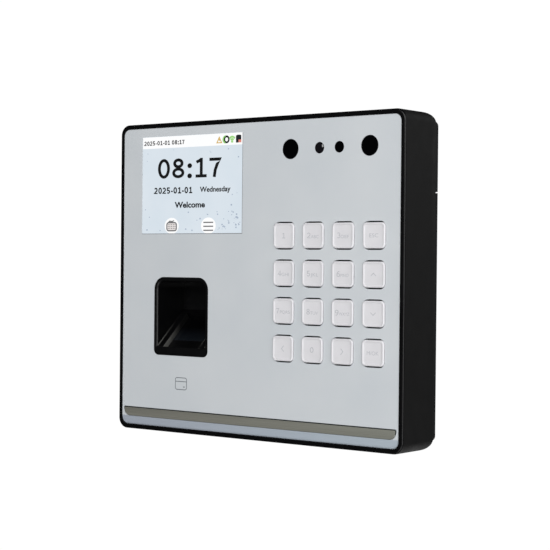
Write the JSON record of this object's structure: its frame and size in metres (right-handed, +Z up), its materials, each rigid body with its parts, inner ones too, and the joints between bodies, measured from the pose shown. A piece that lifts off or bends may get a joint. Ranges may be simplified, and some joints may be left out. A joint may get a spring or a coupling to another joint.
{
  "type": "fingerprint scanner terminal",
  "caption": "Wall-mounted access terminal with a small lit screen, a block of press keys, a sloping fingerprint well, cameras and a card reader, hung on a folded wall plate.",
  "frame": {"origin": "centre of the wall screw pattern, on the wall plate's rear face, which lies on the wall", "axes": "+Z up, +X to the right as seen from the front, +Y into the wall; the front faces -Y"},
  "size_m": [0.1678, 0.0318, 0.1492],
  "materials": {
    "powder_coat": "fine black powder coat on folded sheet steel",
    "zinc_screw": "bright zinc plating",
    "housing_black": "fine spark texture on black ABS",
    "frame_black": "satin black ABS",
    "seal_silicone": "matt silicone",
    "panel_white": "smooth cool-white moulding, low sheen",
    "strip_metal": "brushed along its length, warm grey",
    "screen_glass": "clear cover glass over a lit display",
    "stamped_steel": "tinned or nickel-plated pressing",
    "ribbon_film": "amber polyimide film",
    "mat_silicone": "milky silicone",
    "board_green": "green solder mask",
    "shroud_black": "polished black ABS",
    "sensor_glass": "dark coated glass",
    "optics_black": "black engineering plastic",
    "window_black": "infrared-passing black polycarbonate",
    "led_lens": "clear lens over a phosphor",
    "header_nylon": "natural nylon",
    "relay_blue": "blue moulded case",
    "antenna_blue": "blue solder mask over a printed coil",
    "plunger_red": "red acetal",
    "key_white": "satin white ABS with pale grey printed marks"
  },
  "bodies": {
    "wall_plate": {"wall_plate": "powder_coat", "lock_screw": "zinc_screw"},
    "terminal": {"housing_screws": "zinc_screw", "lcd_screws": "zinc_screw", "keypad_screws": "zinc_screw", "finger_screws": "zinc_screw", "camera_screws": "zinc_screw", "main_screws": "zinc_screw", "rear_housing": "housing_black", "front_frame": "frame_black", "seal_ring": "seal_silicone", "front_panel": "panel_white", "decor_strip": "strip_metal", "screen_window": "screen_glass", "lcd_module": "stamped_steel", "lcd_bracket": "stamped_steel", "processor_shield": "stamped_steel", "network_jack": "stamped_steel", "clock_battery": "stamped_steel", "lcd_ribbon": "ribbon_film", "keypad_ribbon": "ribbon_film", "finger_cable": "ribbon_film", "camera_ribbon": "ribbon_film", "keypad_mat": "mat_silicone", "keypad_pcb": "board_green", "finger_pcb": "board_green", "camera_pcb": "board_green", "main_pcb": "board_green", "finger_shroud": "shroud_black", "finger_glass": "sensor_glass", "finger_optics": "optics_black", "colour_camera": "optics_black", "infrared_camera": "optics_black", "tamper_switch": "optics_black", "speaker": "optics_black", "light_windows": "window_black", "camera_windows": "window_black", "fill_leds": "led_lens", "wire_headers": "header_nylon", "door_relay": "relay_blue", "card_antenna": "antenna_blue"},
    "key_1": {"key_1": "key_white"},
    "key_2": {"key_2": "key_white"},
    "key_3": {"key_3": "key_white"},
    "key_esc": {"key_esc": "key_white"},
    "key_4": {"key_4": "key_white"},
    "key_5": {"key_5": "key_white"},
    "key_6": {"key_6": "key_white"},
    "key_up": {"key_up": "key_white"},
    "key_7": {"key_7": "key_white"},
    "key_8": {"key_8": "key_white"},
    "key_9": {"key_9": "key_white"},
    "key_down": {"key_down": "key_white"},
    "key_left": {"key_left": "key_white"},
    "key_0": {"key_0": "key_white"},
    "key_right": {"key_right": "key_white"},
    "key_ok": {"key_ok": "key_white"},
    "tamper_plunger": {"tamper_plunger": "plunger_red"}
  },
  "joints": [
    {"name": "terminal_lift", "type": "slide", "parent": "wall_plate", "child": "terminal", "axis": [0, 0, 1], "range_m": [0, 0.005]},
    {"name": "key_1_press", "type": "slide", "parent": "terminal", "child": "key_1", "axis": [0, 1, 0], "range_m": [0, 0.001], "stiffness_N_per_m": 900, "springref_m": -0.0006},
    {"name": "key_2_press", "type": "slide", "parent": "terminal", "child": "key_2", "axis": [0, 1, 0], "range_m": [0, 0.001], "stiffness_N_per_m": 900, "springref_m": -0.0006},
    {"name": "key_3_press", "type": "slide", "parent": "terminal", "child": "key_3", "axis": [0, 1, 0], "range_m": [0, 0.001], "stiffness_N_per_m": 900, "springref_m": -0.0006},
    {"name": "key_esc_press", "type": "slide", "parent": "terminal", "child": "key_esc", "axis": [0, 1, 0], "range_m": [0, 0.001], "stiffness_N_per_m": 900, "springref_m": -0.0006},
    {"name": "key_4_press", "type": "slide", "parent": "terminal", "child": "key_4", "axis": [0, 1, 0], "range_m": [0, 0.001], "stiffness_N_per_m": 900, "springref_m": -0.0006},
    {"name": "key_5_press", "type": "slide", "parent": "terminal", "child": "key_5", "axis": [0, 1, 0], "range_m": [0, 0.001], "stiffness_N_per_m": 900, "springref_m": -0.0006},
    {"name": "key_6_press", "type": "slide", "parent": "terminal", "child": "key_6", "axis": [0, 1, 0], "range_m": [0, 0.001], "stiffness_N_per_m": 900, "springref_m": -0.0006},
    {"name": "key_up_press", "type": "slide", "parent": "terminal", "child": "key_up", "axis": [0, 1, 0], "range_m": [0, 0.001], "stiffness_N_per_m": 900, "springref_m": -0.0006},
    {"name": "key_7_press", "type": "slide", "parent": "terminal", "child": "key_7", "axis": [0, 1, 0], "range_m": [0, 0.001], "stiffness_N_per_m": 900, "springref_m": -0.0006},
    {"name": "key_8_press", "type": "slide", "parent": "terminal", "child": "key_8", "axis": [0, 1, 0], "range_m": [0, 0.001], "stiffness_N_per_m": 900, "springref_m": -0.0006},
    {"name": "key_9_press", "type": "slide", "parent": "terminal", "child": "key_9", "axis": [0, 1, 0], "range_m": [0, 0.001], "stiffness_N_per_m": 900, "springref_m": -0.0006},
    {"name": "key_down_press", "type": "slide", "parent": "terminal", "child": "key_down", "axis": [0, 1, 0], "range_m": [0, 0.001], "stiffness_N_per_m": 900, "springref_m": -0.0006},
    {"name": "key_left_press", "type": "slide", "parent": "terminal", "child": "key_left", "axis": [0, 1, 0], "range_m": [0, 0.001], "stiffness_N_per_m": 900, "springref_m": -0.0006},
    {"name": "key_0_press", "type": "slide", "parent": "terminal", "child": "key_0", "axis": [0, 1, 0], "range_m": [0, 0.001], "stiffness_N_per_m": 900, "springref_m": -0.0006},
    {"name": "key_right_press", "type": "slide", "parent": "terminal", "child": "key_right", "axis": [0, 1, 0], "range_m": [0, 0.001], "stiffness_N_per_m": 900, "springref_m": -0.0006},
    {"name": "key_ok_press", "type": "slide", "parent": "terminal", "child": "key_ok", "axis": [0, 1, 0], "range_m": [0, 0.001], "stiffness_N_per_m": 900, "springref_m": -0.0006},
    {"name": "tamper_press", "type": "slide", "parent": "terminal", "child": "tamper_plunger", "axis": [0, -1, 0], "range_m": [0, 0.0012], "stiffness_N_per_m": 400, "springref_m": -0.0012}
  ]
}
